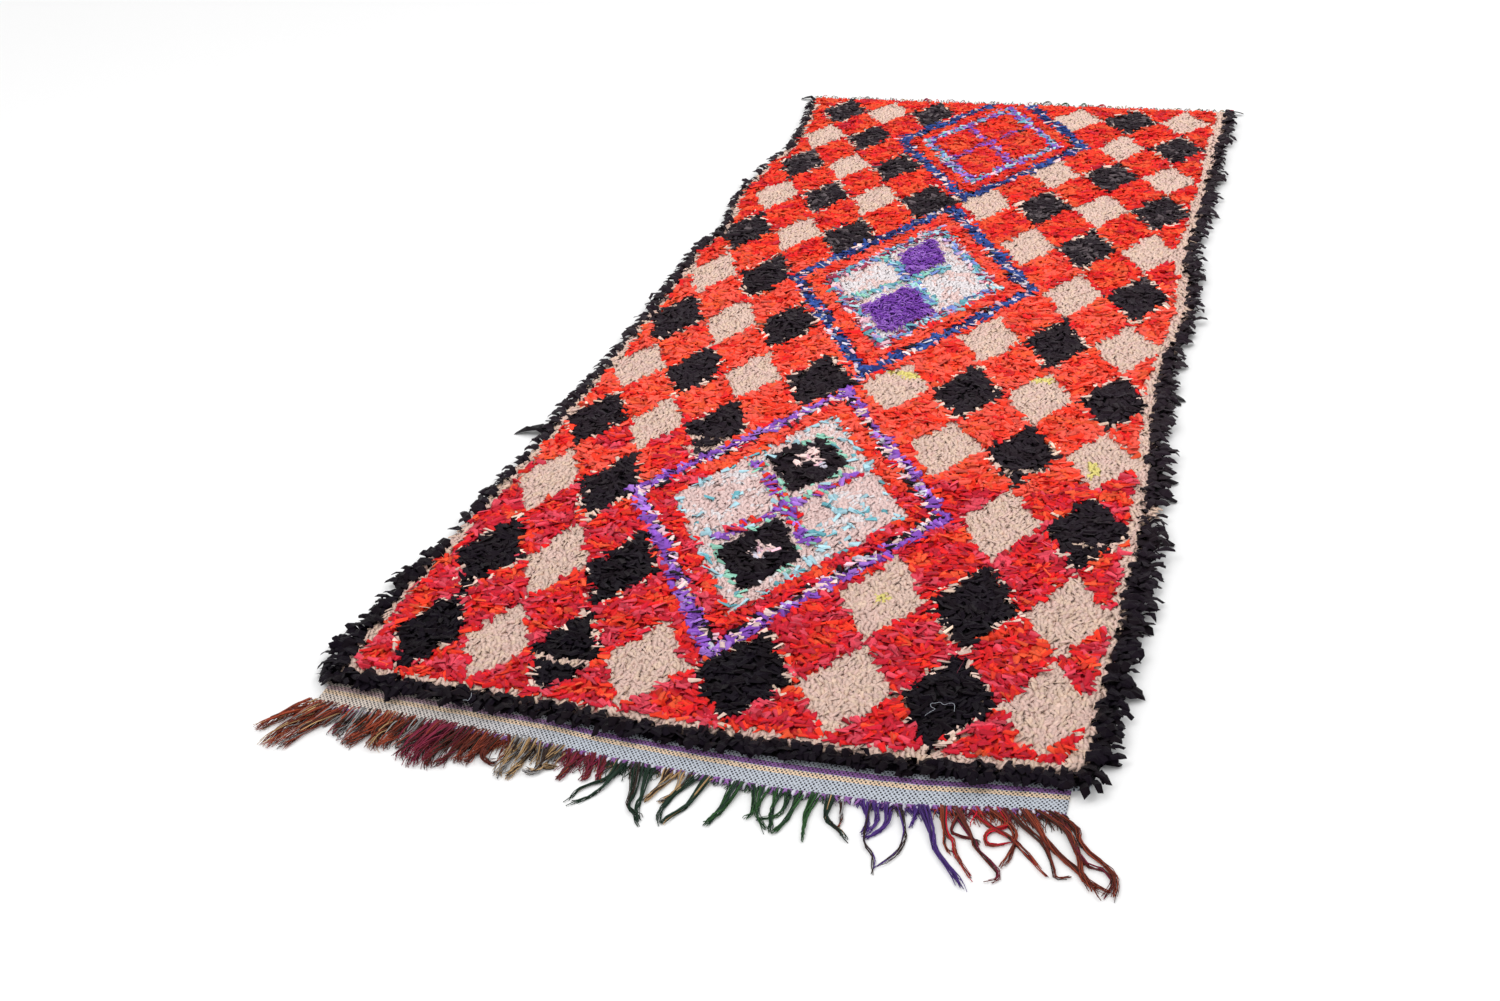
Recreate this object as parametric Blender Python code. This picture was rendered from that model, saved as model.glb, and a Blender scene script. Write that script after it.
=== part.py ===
"""A boucherouite rug: a deep pile of knotted rags on a woven ground, with a flat-woven end and warp fringes.

Metres, +Z up. The rug lies flat with its underside on z = 0, its length along Y and its width along X.
The origin is under the middle of the pile. The flat-woven end and its long fringe are at the front, -Y.
Distances called "along" run from the front edge of the pile towards the back.
"""

import math
import random
from collections import namedtuple

import bmesh
import bpy
from mathutils import Vector, noise

# Driving dimensions of the cloth
LENGTH = 2.90
PILE_TOP = 0.021
RIM_TOP = 0.013
FRONT_BORDER_TOP = 0.025
FLAT_WEAVE = 0.003
FLAT_END_DEPTH = 0.060
FLAT_END_LEFT = -0.590
FLAT_END_RIGHT = 0.565
SEAT_GAP = 0.0003

# The front edge bows towards the front, and the bow dies out up the rug
BOW = 0.033
BOW_CENTRE = 0.060
BOW_HALF_WIDTH = 0.660
BOW_FADE = 0.60

# Half widths of the pile, read up the rug
Width = namedtuple("Width", "along left right")
WIDTHS = [
    Width(0.00, 0.598, 0.590),
    Width(0.10, 0.614, 0.606),
    Width(0.30, 0.612, 0.610),
    Width(0.60, 0.598, 0.612),
    Width(0.85, 0.580, 0.604),
    Width(1.05, 0.574, 0.590),
    Width(1.30, 0.570, 0.580),
    Width(1.60, 0.566, 0.603),
    Width(1.75, 0.568, 0.594),
    Width(1.90, 0.548, 0.574),
    Width(2.15, 0.580, 0.584),
    Width(2.35, 0.570, 0.588),
    Width(2.50, 0.544, 0.586),
    Width(2.65, 0.552, 0.590),
    Width(2.80, 0.568, 0.594),
    Width(2.90, 0.588, 0.592),
]

# The pile's lumps: tufts are knotted in rows across the rug, which leaves low ridges
COLUMNS = 30
LOCKS_PER_SIDE = 61
LOCK_SHARE = 0.38
FLAT_END_ROWS = (FLAT_END_DEPTH, 0.024, 0.003)
WALL_SLOPE = 0.004
ROW_RIPPLE = 0.0016
CLUMP_SIZE = 0.110
CLUMP_HEIGHT = 0.0050
LUMP_SIZE = 0.036
LUMP_HEIGHT = 0.0055
SHUFFLE = 0.006
ROW_SHUFFLE = 0.003
FRONT_BORDER_ROWS = 2

# Rag ends that stick out of the black border
LOCK_REACH = (0.012, 0.034)
LOCK_TIP_HALF_WIDTH = 0.0035
LOCK_TIP_TOP = 0.0045
LOCK_SWING = 22.0
FRONT_LOCK_REACH = (0.010, 0.026)
FRONT_LOCK_HALF_WIDTH = (0.013, 0.005)
FRONT_LOCK_UNDER = (0.0055, 0.0065)
FRONT_LOCK_TOP = (0.020, 0.011)
FRONT_LOCK_SWING = 16.0
STRAY_RAG = {"along": 0.84, "reach": 0.058, "swing": 4.0}

# The knotted strip that the long fringe hangs from, and its strands
HEADING_DEPTH = 0.007
HEADING_TOP = 0.0048
STRAND_SHARE = 0.52
STRAND_STEPS = 4
STRAND_ROOT_HALF_WIDTH = 0.0028
STRAND_TIP_HALF_WIDTH = 0.0013
STRAND_ROOT_TOP = 0.0042
STRAND_TIP_TOP = 0.0018
TIP_PITCH = 0.0062

# Locks of warp yarn from left to right: how many strands, how far they reach, and where they lean.
# Lean and bow are in degrees, positive towards +X.
Clump = namedtuple("Clump", "strands reach lean bow")
CLUMPS = [
    Clump(4, 0.105, -44.0, -14.0),
    Clump(4, 0.112, -24.0, -12.0),
    Clump(5, 0.086, -17.0, -10.0),
    Clump(4, 0.074, -14.0, 8.0),
    Clump(4, 0.090, -12.0, -10.0),
    Clump(4, 0.082, -12.0, 10.0),
    Clump(4, 0.078, -16.0, -12.0),
    Clump(3, 0.074, -10.0, 8.0),
    Clump(3, 0.066, -12.0, -8.0),
    Clump(3, 0.104, -24.0, -18.0),
    Clump(4, 0.106, 4.0, -14.0),
    Clump(3, 0.098, -16.0, -12.0),
    Clump(2, 0.094, -14.0, -8.0),
    Clump(5, 0.090, 2.0, 6.0),
    Clump(2, 0.088, -4.0, 4.0),
    Clump(3, 0.078, 18.0, 10.0),
    Clump(5, 0.084, 2.0, 16.0),
    Clump(3, 0.128, 18.0, 12.0),
    Clump(4, 0.136, 24.0, 14.0),
    Clump(4, 0.128, 30.0, 12.0),
    Clump(6, 0.150, 36.0, 14.0),
]

# Short ends of warp at the back edge
BACK_STRIP_DEPTH = 0.008
BACK_STRIP_TOP = 0.0036
BACK_INSET = 0.012
BACK_LOCKS = 26
BACK_LOCK_SHARE = 0.34
BACK_LOCK_REACH = (0.010, 0.020)
BACK_LOCK_HALF_WIDTH = (0.0065, 0.0030)
BACK_LOCK_TIP_TOP = 0.0024
BACK_LOCK_SWING = 26.0

HALF_LENGTH = LENGTH / 2
SEED = 41

# A wall faces a direction where the cosine between them is over this
FACING = 0.7
LEVEL = 1e-6

Root = namedtuple("Root", "foot pitch")


def smooth(t):
    return t * t * (3 - 2 * t)


def half_widths(along):
    """The pile's left and right half widths at a distance up the rug."""
    for low, high in zip(WIDTHS, WIDTHS[1:]):
        if along <= high.along:
            t = smooth(max(0.0, (along - low.along) / (high.along - low.along)))
            return low.left + t * (high.left - low.left), low.right + t * (high.right - low.right)
    return WIDTHS[-1].left, WIDTHS[-1].right


def front_bow(x):
    """How far the front edge lies ahead of its ends."""
    return -BOW * (1 - ((x - BOW_CENTRE) / BOW_HALF_WIDTH) ** 2)


def flat_end_edge(x):
    """The Y of the flat-woven end's outer edge."""
    return front_bow(x) - FLAT_END_DEPTH - HALF_LENGTH


def lumps(x, y):
    """How far the pile stands above or below its mean height."""
    clump = noise.noise(Vector((x, y, 0)) / CLUMP_SIZE)
    lump = noise.noise(Vector((x, y, 0.5)) / LUMP_SIZE)
    return CLUMP_HEIGHT * clump + LUMP_HEIGHT * lump


def pile_rows():
    """Distances up the rug of the grid's rows: a narrow row where each rim lock grows, then a wide one."""
    pitch = LENGTH / LOCKS_PER_SIDE
    rows = []
    for n in range(LOCKS_PER_SIDE):
        rows += [n * pitch, (n + LOCK_SHARE) * pitch]
    rows[0] = WALL_SLOPE
    return rows + [LENGTH]


def grid(columns, rows, place):
    """An open sheet of columns by rows faces, whose point (i, j) is put where place says."""
    bm = bmesh.new()
    bmesh.ops.create_grid(bm, x_segments=columns, y_segments=rows, size=0.5)
    for v in bm.verts:
        v.co = place(round((v.co.x + 0.5) * columns), round((v.co.y + 0.5) * rows))
    return bm


def close_underneath(bm):
    """Drops walls from the sheet's rim to the floor, and closes it with one flat face."""
    rim = [e for e in bm.edges if e.is_boundary]
    grown = bmesh.ops.extrude_edge_only(bm, edges=rim)["geom"]
    for v in grown:
        if isinstance(v, bmesh.types.BMVert):
            v.co.z = 0.0
    foot = [e for e in grown if isinstance(e, bmesh.types.BMEdge) and e.is_boundary]
    bmesh.ops.contextual_create(bm, geom=foot)
    bmesh.ops.recalc_face_normals(bm, faces=bm.faces)


def walls_facing(bm, direction):
    """The upright faces that stand on the floor and face a direction, in order across it."""
    across = Vector((-direction.y, direction.x, 0))
    found = [
        f
        for f in bm.faces
        if len(f.verts) == 4
        and sum(v.co.z == 0.0 for v in f.verts) == 2
        and f.normal.dot(direction) > FACING
    ]
    return sorted(found, key=lambda f: f.calc_center_median().dot(across))


def grow(bm, face, steps):
    """Draws a lock out of a wall face. Each step is its centre on plan, half width, underside and top."""
    start = face.calc_center_median()
    here = Vector((start.x, start.y, 0))
    for centre, half_width, under, top in steps:
        heading = (centre - here).normalized()
        side = Vector((-heading.y, heading.x, 0))
        face = bmesh.ops.extrude_discrete_faces(bm, faces=[face])["faces"][0]
        by_height = sorted(face.verts, key=lambda v: v.co.z)
        for pair, z in ((by_height[:2], under), (by_height[2:], top)):
            pair.sort(key=lambda v: v.co.dot(side))
            for v, sign in zip(pair, (-1, 1)):
                v.co = centre + side * sign * half_width + Vector((0, 0, z))
        here = centre


def turned(direction, degrees):
    """A level direction turned about Z."""
    a = math.radians(degrees)
    x, y = direction.x, direction.y
    return Vector((x * math.cos(a) - y * math.sin(a), x * math.sin(a) + y * math.cos(a), 0))


def foot_of(face):
    """The middle of a wall face, on the floor."""
    centre = face.calc_center_median()
    return Vector((centre.x, centre.y, 0))


def finish(bm, name, material, collection):
    mesh = bpy.data.meshes.new(name)
    bm.to_mesh(mesh)
    bm.free()
    part = bpy.data.objects.new(name, mesh)
    part.data.materials.append(material)
    collection.objects.link(part)
    return part


def cloth(name, colour, roughness):
    made = bpy.data.materials.new(name)
    made.use_nodes = True
    shader = made.node_tree.nodes["Principled BSDF"]
    shader.inputs["Base Color"].default_value = (*colour, 1.0)
    shader.inputs["Roughness"].default_value = roughness
    shader.inputs["Metallic"].default_value = 0.0
    return made


def rug_point(i, j, rows, draw):
    """A point of the rug's upper side: first the flat-woven end, then the pile from its front edge up."""
    u = i / COLUMNS
    if j < len(FLAT_END_ROWS):
        x = FLAT_END_LEFT + u * (FLAT_END_RIGHT - FLAT_END_LEFT)
        return Vector((x, front_bow(x) - FLAT_END_ROWS[j] - HALF_LENGTH, FLAT_WEAVE))
    row = j - len(FLAT_END_ROWS)
    along = rows[row]
    left, right = half_widths(along)
    x = -left + u * (left + right)
    y = along + front_bow(x) * max(0.0, 1 - along / BOW_FADE) - HALF_LENGTH
    ripple = ROW_RIPPLE if row % 2 else -ROW_RIPPLE
    at_side = i in (0, COLUMNS)
    at_end = row in (0, len(rows) - 1)
    if row < FRONT_BORDER_ROWS:
        z = FRONT_BORDER_TOP if not at_side else RIM_TOP
    else:
        z = RIM_TOP if at_side or at_end else PILE_TOP
    if not (at_side or at_end):
        x += draw.uniform(-SHUFFLE, SHUFFLE)
        y += draw.uniform(-ROW_SHUFFLE, ROW_SHUFFLE)
    return Vector((x, y, z + ripple + lumps(x, y)))


def add_rim_locks(bm, draw):
    """Rag ends along both sides, resting on the floor."""
    for outward in (Vector((-1, 0, 0)), Vector((1, 0, 0))):
        walls = [f for f in walls_facing(bm, outward) if f.calc_center_median().y > -HALF_LENGTH]
        walls.sort(key=lambda f: f.calc_center_median().y)
        stray_y = STRAY_RAG["along"] - HALF_LENGTH
        stray = min(walls[::2], key=lambda f: abs(f.calc_center_median().y - stray_y))
        for wall in walls[::2]:
            reach = draw.uniform(*LOCK_REACH)
            swing = draw.uniform(-LOCK_SWING, LOCK_SWING)
            if outward.x < 0 and wall is stray:
                reach, swing = STRAY_RAG["reach"], STRAY_RAG["swing"]
            tip = foot_of(wall) + turned(outward, swing) * reach
            grow(bm, wall, [(tip, LOCK_TIP_HALF_WIDTH, 0.0, LOCK_TIP_TOP)])


def add_front_locks(bm, draw):
    """Rags of the front border that hang over the flat-woven end without touching it."""
    step = [
        f
        for f in bm.faces
        if len(f.verts) == 4
        and sum(abs(v.co.z - FLAT_WEAVE) < LEVEL for v in f.verts) == 2
        and max(v.co.z for v in f.verts) > RIM_TOP
    ]
    step.sort(key=lambda f: f.calc_center_median().x)
    for wall in step[1:-1]:
        reach = draw.uniform(*FRONT_LOCK_REACH)
        heading = turned(Vector((0, -1, 0)), draw.uniform(-FRONT_LOCK_SWING, FRONT_LOCK_SWING))
        sizes = zip((0.5, 1.0), FRONT_LOCK_HALF_WIDTH, FRONT_LOCK_UNDER, FRONT_LOCK_TOP)
        grow(bm, wall, [(foot_of(wall) + heading * reach * t, *rest) for t, *rest in sizes])


def make_rug(collection):
    draw = random.Random(SEED)
    rows = pile_rows()
    points = {}

    def place(i, j):
        if (i, j) not in points:
            points[i, j] = rug_point(i, j, rows, draw)
        return points[i, j]

    bm = grid(COLUMNS, len(FLAT_END_ROWS) + len(rows) - 1, place)
    close_underneath(bm)
    add_rim_locks(bm, draw)
    add_front_locks(bm, draw)
    return finish(bm, "rug_body", cloth("rag_pile", (0.72, 0.07, 0.05), 0.95), collection)


def strip(count, share, span, edge, depth, top):
    """A low strip beside an edge of the cloth, divided into a root face and a gap for each lock.

    edge gives the strip's near edge for an X, and depth reaches away from the cloth: negative to the front.
    """
    left, right = span
    pitch = (right - left) / count

    def place(i, j):
        x = left + pitch * (i // 2 + (share if i % 2 else 0.0))
        far = j == 0 if depth < 0 else j == 1
        return Vector((x, edge(x) + (depth if far else 0.0), top))

    bm = grid(2 * count, 1, place)
    close_underneath(bm)
    return bm


def clump_steps(root, offset, clump):
    """The route of one strand, which leans with its clump and draws in towards its fellows."""
    ahead = Vector((0, -1, 0))
    steps = []
    for n in range(1, STRAND_STEPS + 1):
        t = n / STRAND_STEPS
        centre_line = turned(ahead, clump.lean + clump.bow * (t - 0.5)) * clump.reach * t
        gathered = turned(Vector((1, 0, 0)), clump.lean) * offset * TIP_PITCH
        spread = root.pitch * offset * Vector((1, 0, 0))
        drift = (gathered - spread) * smooth(t)
        half_width = STRAND_ROOT_HALF_WIDTH + t * (STRAND_TIP_HALF_WIDTH - STRAND_ROOT_HALF_WIDTH)
        top = STRAND_ROOT_TOP + t * (STRAND_TIP_TOP - STRAND_ROOT_TOP)
        steps.append((root.foot + centre_line + drift, half_width, 0.0, top))
    return steps


def make_front_fringe(collection):
    count = sum(clump.strands for clump in CLUMPS)
    pitch = (FLAT_END_RIGHT - FLAT_END_LEFT) / count
    bm = strip(
        count,
        STRAND_SHARE,
        (FLAT_END_LEFT, FLAT_END_RIGHT),
        lambda x: flat_end_edge(x) - SEAT_GAP,
        -HEADING_DEPTH,
        HEADING_TOP,
    )
    roots = walls_facing(bm, Vector((0, -1, 0)))
    roots.sort(key=lambda f: f.calc_center_median().x)
    roots = iter(roots[::2])
    for clump in CLUMPS:
        for n in range(clump.strands):
            wall = next(roots)
            offset = n - (clump.strands - 1) / 2
            grow(bm, wall, clump_steps(Root(foot_of(wall), pitch), offset, clump))
    return finish(bm, "fringe_front", cloth("warp_yarn", (0.36, 0.12, 0.09), 0.9), collection)


def make_back_fringe(collection):
    draw = random.Random(SEED + 1)
    left, right = half_widths(LENGTH)
    bm = strip(
        BACK_LOCKS,
        BACK_LOCK_SHARE,
        (-left + BACK_INSET, right - BACK_INSET),
        lambda x: HALF_LENGTH + SEAT_GAP,
        BACK_STRIP_DEPTH,
        BACK_STRIP_TOP,
    )
    roots = walls_facing(bm, Vector((0, 1, 0)))
    roots.sort(key=lambda f: f.calc_center_median().x)
    for wall in roots[::2]:
        reach = draw.uniform(*BACK_LOCK_REACH)
        heading = turned(Vector((0, 1, 0)), draw.uniform(-BACK_LOCK_SWING, BACK_LOCK_SWING))
        foot = foot_of(wall)
        broad, narrow = BACK_LOCK_HALF_WIDTH
        grow(
            bm,
            wall,
            [
                (foot + heading * reach * 0.5, broad, 0.0, BACK_STRIP_TOP),
                (foot + heading * reach, narrow, 0.0, BACK_LOCK_TIP_TOP),
            ],
        )
    return finish(bm, "fringe_back", cloth("warp_ends", (0.30, 0.24, 0.18), 0.9), collection)


def main():
    for old in list(bpy.data.objects):
        bpy.data.objects.remove(old)
    collection = bpy.data.collections.new("boucherouite_rug")
    bpy.context.scene.collection.children.link(collection)
    make_rug(collection)
    make_front_fringe(collection)
    make_back_fringe(collection)


main()
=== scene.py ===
"""The boucherouite rug's looks: each rag, yarn end and fringe thread is its own small closed form.

Metres, +Z up, in the frame's own axes. The origin is under the middle of the pile and the front is -Y.
"along" is the distance up the rug from the pile's front edge. A dye is written as the eye sees it, in
steps of 0 to 255.
"""

import math
from collections import namedtuple

import bpy
import numpy as np
from mathutils import Matrix, Vector, noise


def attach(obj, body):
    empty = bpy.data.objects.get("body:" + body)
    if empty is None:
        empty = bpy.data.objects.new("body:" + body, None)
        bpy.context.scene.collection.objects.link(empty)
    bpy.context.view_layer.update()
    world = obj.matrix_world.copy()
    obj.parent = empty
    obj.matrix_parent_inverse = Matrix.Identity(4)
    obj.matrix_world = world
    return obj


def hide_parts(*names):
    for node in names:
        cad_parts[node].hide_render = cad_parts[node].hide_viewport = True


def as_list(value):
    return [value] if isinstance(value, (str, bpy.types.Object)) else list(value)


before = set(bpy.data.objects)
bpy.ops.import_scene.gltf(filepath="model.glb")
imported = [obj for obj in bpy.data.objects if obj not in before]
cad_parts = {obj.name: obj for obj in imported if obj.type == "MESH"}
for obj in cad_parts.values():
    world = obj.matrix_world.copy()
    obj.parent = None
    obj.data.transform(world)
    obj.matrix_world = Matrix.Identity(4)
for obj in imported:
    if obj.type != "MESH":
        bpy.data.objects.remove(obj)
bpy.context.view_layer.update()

SEED = 7

# Sizes of the cloth, as in the part
LENGTH = 2.9
HALF_LENGTH = LENGTH / 2
FLAT_WEAVE = 0.003
FLAT_DEPTH = 0.06
FLAT_LEFT = -0.59
FLAT_RIGHT = 0.565
UNDER_PILE = 0.014
BOW = 0.033
BOW_CENTRE = 0.06
BOW_HALF_WIDTH = 0.66
BOW_FADE = 0.6

# The pile's half widths: along, left and right, in millimetres
WIDTHS = np.array([
    (0, 598, 590), (100, 614, 606), (300, 612, 610), (600, 598, 612), (850, 580, 604),
    (1050, 574, 590), (1300, 570, 580), (1600, 566, 603), (1750, 568, 594), (1900, 548, 574),
    (2150, 580, 584), (2350, 570, 588), (2500, 544, 586), (2650, 552, 590), (2800, 568, 594),
    (2900, 588, 592),
]) / 1000

DYES = {
    "crimson": (194, 18, 44), "scarlet": (220, 18, 22), "vermilion": (236, 52, 24),
    "orange": (238, 82, 42), "coral": (244, 86, 68), "rose": (222, 66, 86), "blue black": (8, 5, 12),
    "black": (7, 4, 6), "charcoal": (80, 72, 74), "beige": (232, 200, 185), "sand": (234, 203, 182),
    "blush": (232, 197, 185), "lemon": (236, 220, 130), "white": (238, 230, 232),
    "shell": (240, 208, 203), "navy": (26, 40, 104), "blue": (42, 76, 152), "purple": (132, 74, 182),
    "violet": (164, 112, 208), "light blue": (168, 208, 220), "periwinkle": (116, 138, 206),
    "teal": (100, 168, 180), "mint": (142, 202, 180), "pink": (236, 188, 202), "maroon": (160, 50, 84),
    "lilac": (186, 160, 212), "rust": (146, 64, 42), "russet": (96, 40, 30), "umber": (54, 40, 34),
    "magenta": (126, 38, 62), "wine": (104, 32, 38), "straw": (176, 142, 100), "grey": (140, 138, 138),
    "bottle green": (34, 54, 42), "green": (48, 84, 46), "plum": (78, 50, 122),
    "weave grey": (190, 196, 206), "weave purple": (146, 98, 164), "weave lilac": (204, 200, 214),
    "weave peach": (236, 208, 178), "weave dark": (22, 20, 34),
}

# What a knot can be, by its tuft's style and its piece: a kind, and its dyes with their shares
Kind = namedtuple("Kind", "style piece dyes")
KINDS = {name: Kind(style, piece, dyes) for style, piece, kinds in (
    ("rag", "red_front", {
        "red_front": {"rose": 18, "crimson": 31, "scarlet": 28, "vermilion": 15, "orange": 8},
    }),
    ("rag", "red_middle", {"red_middle": {"scarlet": 8, "vermilion": 30, "coral": 46, "orange": 16}}),
    ("rag", "red_back", {"red_back": {"crimson": 5, "scarlet": 28, "vermilion": 42, "orange": 25}}),
    ("rag", "black_rags", {
        "black": {"blue black": 55, "black": 45}, "charcoal": {"black": 60, "charcoal": 40},
    }),
    ("border", "border_rags", {"border": {"blue black": 60, "black": 40}}),
    ("yarn", "cream_yarn", {"cream": {"beige": 40, "sand": 30, "blush": 30}}),
    ("rag", "motif_rags", {"cream bits": {"beige": 75, "sand": 25}}),
    ("yarn", "motif_yarn", {
        "lemon": {"lemon": 100}, "pale": {"white": 15, "shell": 85}, "chalk": {"white": 62, "shell": 38},
    }),
    ("shag", "purple_yarn", {"violet": {"purple": 65, "violet": 35}}),
    ("rag", "motif_rags", {
        "blue": {"navy": 40, "blue": 60}, "purple": {"purple": 70, "violet": 30},
        "white": {"shell": 42, "pink": 26, "weave lilac": 32}, "sky": {"light blue": 78, "teal": 22},
        "teal": {"teal": 50, "periwinkle": 50}, "mint": {"mint": 100}, "pink": {"pink": 60, "lilac": 40},
        "maroon": {"maroon": 100},
    }),
) for name, dyes in kinds.items()}

# How a style of tuft is knotted and stands. A tuft is a chain of straight bits: their shares of its
# length, and their slopes in degrees above the floor.
Style = namedtuple("Style", "pitch row length shares slopes width profile sway spread ridge flat")
STYLES = {
    "rag": Style(
        0.0078, 0.0088, (0.029, 0.036), (0.44, 0.56), (80, -9), (0.0084, 0.0124),
        (0.62, 1.0, 0.62), 60, 28, 0.19, True,
    ),
    "border": Style(
        0.009, 0.01, (0.027, 0.042), (0.42, 0.29, 0.29), (76, 20, -16), (0.0095, 0.0145),
        (0.6, 0.95, 1.05, 0.75), 44, 34, 0.12, True,
    ),
    "yarn": Style(
        0.0065, 0.0072, (0.0235, 0.027), (0.46, 0.54), (78, -16), (0.0086, 0.01),
        (0.92, 1.0, 0.88), 24, 19, 0.13, False,
    ),
    "shag": Style(
        0.0062, 0.007, (0.026, 0.034), (0.46, 0.28, 0.26), (78, 30, 6), (0.0034, 0.0042),
        (0.9, 1.0, 1.0, 0.7), 50, 60, 0.7, False,
    ),
}

# The pattern was read on the floor's plane, as seen from this place
READ_FROM = (0.797, -3.451, 1.644)

# How far in from the outline the outermost knots are, up the rug, and at the back
LEFT_INSETS = {
    0.0: -0.004, 0.08: -0.002, 0.2: 0.01, 0.32: 0.008, 0.4: 0.034, 0.5: 0.034, 0.6: 0.026,
    0.77: 0.032, 0.88: 0.024, 0.97: 0.016, 1.1: 0.024, 1.25: 0.028, 1.4: 0.02, 2.05: 0.018,
    2.2: 0.03, 2.4: 0.034, 2.55: 0.02,
}
RIGHT_INSETS = {
    0.68: 0.0, 0.72: 0.012, 0.745: 0.012, 0.77: 0.0, 0.95: 0.0, 1.0: 0.008, 1.05: 0.0, 1.3: 0.0,
    1.55: 0.007, 2.0: 0.003, 2.8: 0.005,
}
BACK_INSET = 0.014
PILE_BACK = LENGTH - BACK_INSET

# How far up the rug its first knots are, from the middle rightwards
FRONT_STARTS = {0.0: 0.001, 0.12: 0.013, 0.28: 0.012, 0.45: 0.009, 0.5: 0.001}

# How far the pile's front edge and the weave's lie back from the even bow: x, pile, weave, in millimetres
WAVES = np.array([
    (-600, 0, 3), (-450, 10, 12), (-350, 15, 15), (-200, 14, 15), (-100, 5, 8), (50, 0, 0),
    (150, -4, -6), (350, -4, -8), (460, 3, 6), (570, 5, 9),
]) / 1000
WAVE_FADE = 0.15

# Where the front edge's rags reach further over the weave, and by what share
FRONT_CLUMPS = {
    -0.6: 0.0, -0.56: 0.4, -0.5: 0.8, -0.46: 0.5, -0.42: 0.1, -0.38: 0.6, -0.34: 0.8, -0.28: 0.8,
    -0.25: 0.1, -0.07: 0.1, -0.05: 0.7, -0.03: 0.1, 0.06: 0.1, 0.11: 0.4, 0.15: 0.3, 0.2: 0.1,
}

# The lattice's rows of diamonds from back to front, and where their columns lie at three places
ROW_CENTRES = (2.79, 2.585, 2.37, 2.15, 1.905, 1.65, 1.4, 1.155, 0.93, 0.68, 0.42, 0.18)
COLUMNS_AT = {
    0.2: (-0.5, -0.38, -0.26, -0.13, 0.04, 0.2, 0.355, 0.505),
    1.5: (-0.487, -0.362, -0.235, -0.105, 0.065, 0.198, 0.335, 0.475),
    2.79: (-0.46, -0.335, -0.207, -0.08, 0.055, 0.188, 0.33, 0.47),
}

# The left, right and front borders' widths: black rags, then black rags and cream line together
BORDERS = ((0.014, 0.035), (0.026, 0.05), (0.043, 0.061))

# The medallions: middles, half sizes and nested rings by outer share, from the outside in
Diamond = namedtuple("Diamond", "x along wide high kinds")
MEDALLIONS = [
    Diamond(-0.007, 2.578, 0.25, 0.414, [
        (1.03, {"blue": 84, "white": 16}), (0.905, {"black": 40, "red_back": 60}), (0.885, "red_back"),
        (0.74, {"purple": 36, "sky": 20, "teal": 24, "pink": 20}), (0.625, "red_back"),
    ]),
    Diamond(-0.022, 1.656, 0.275, 0.47, [
        (1.03, {"blue": 80, "white": 20}), (0.91, {"black": 50, "red_middle": 50}), (0.89, "red_middle"),
        (0.74, {"teal": 28, "sky": 14, "maroon": 22, "pink": 14, "white": 22}), (0.625, "chalk"),
    ]),
    Diamond(-0.034, 0.672, 0.296, 0.464, [
        (1.01, {"purple": 92, "white": 8}), (0.95, {"white": 54, "purple": 30, "black": 16}),
        (0.91, {"black": 45, "white": 22, "red_front": 33}), (0.88, "red_front"),
        (0.74, {"pale": 72, "sky": 28}), (0.68, {"pale": 97, "sky": 3}),
    ]),
]

# Small diamonds in the medallions
DIAMONDS = [
    Diamond(-0.031, 1.806, 0.056, 0.112, "violet"),
    Diamond(-0.023, 1.522, 0.082, 0.128, "violet"),
    Diamond(-0.037, 0.822, 0.086, 0.12, {"pale": 72, "mint": 28}),
    Diamond(-0.037, 0.824, 0.076, 0.108, "black"),
    Diamond(-0.037, 0.508, 0.088, 0.13, {"pale": 78, "mint": 22}),
    Diamond(-0.037, 0.508, 0.075, 0.115, "black"),
]

# Strokes over all but the borders, in millimetres: from x and along to x and along, half width, and kinds
TEALS = {"sky": 26, "teal": 40, "mint": 16, "white": 18}
PURPLES = {"purple": 62, "red_front": 22, "mint": 16}
STROKES = [
    (-98, 2715, 62, 2455, 10, {"purple": 60, "maroon": 25, "pink": 15}),
    (70, 2725, -90, 2455, 9, {"purple": 64, "maroon": 22, "black": 14}),
    (-108, 1790, 50, 1560, 10, TEALS), (40, 1760, -125, 1570, 10, TEALS),
    (-130, 802, 36, 563, 9, PURPLES), (61, 799, -118, 547, 9, PURPLES), (-42, 872, -54, 812, 9, "white"),
    (-42, 872, -16, 816, 9, "white"), (-49, 508, -20, 528, 7, "white"), (-41, 536, -29, 500, 7, "white"),
    (325, 870, 395, 870, 8, "cream"), (480, 635, 560, 635, 6, "cream"),
    (-290, 885, -205, 885, 7, "cream"), (-290, 846, -220, 846, 7, "cream"),
    (-310, 155, -215, 155, 7, "cream"), (30, 1210, 90, 1205, 10, "lemon"),
    (320, 1228, 345, 1225, 10, "lemon"), (478, 910, 480, 870, 10, "lemon"),
    (190, 420, 205, 420, 8, "lemon"), (-190, 2690, -150, 2725, 20, "blue"),
]
GAP_IN_BORDER = (0.775, 0.026)

# Rags that reach far out of the border: side, and in millimetres their place along, reach and width
STRAYS = [
    (-1, 840, 50, 20), (-1, 856, 40, 16), (1, 1195, 30, 22), (1, 1176, 24, 16),
    (1, 865, 24, 20), (1, 665, 32, 18), (1, 400, 26, 22), (1, 240, 30, 24), (1, 228, 34, 14),
    (1, 68, 22, 20), (1, 805, 30, 18), (1, 2880, 24, 14), (-1, 2880, 22, 16), (-1, 10, 24, 20),
    (-1, 40, 20, 18), (-1, 100, 26, 16),
]

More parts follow.
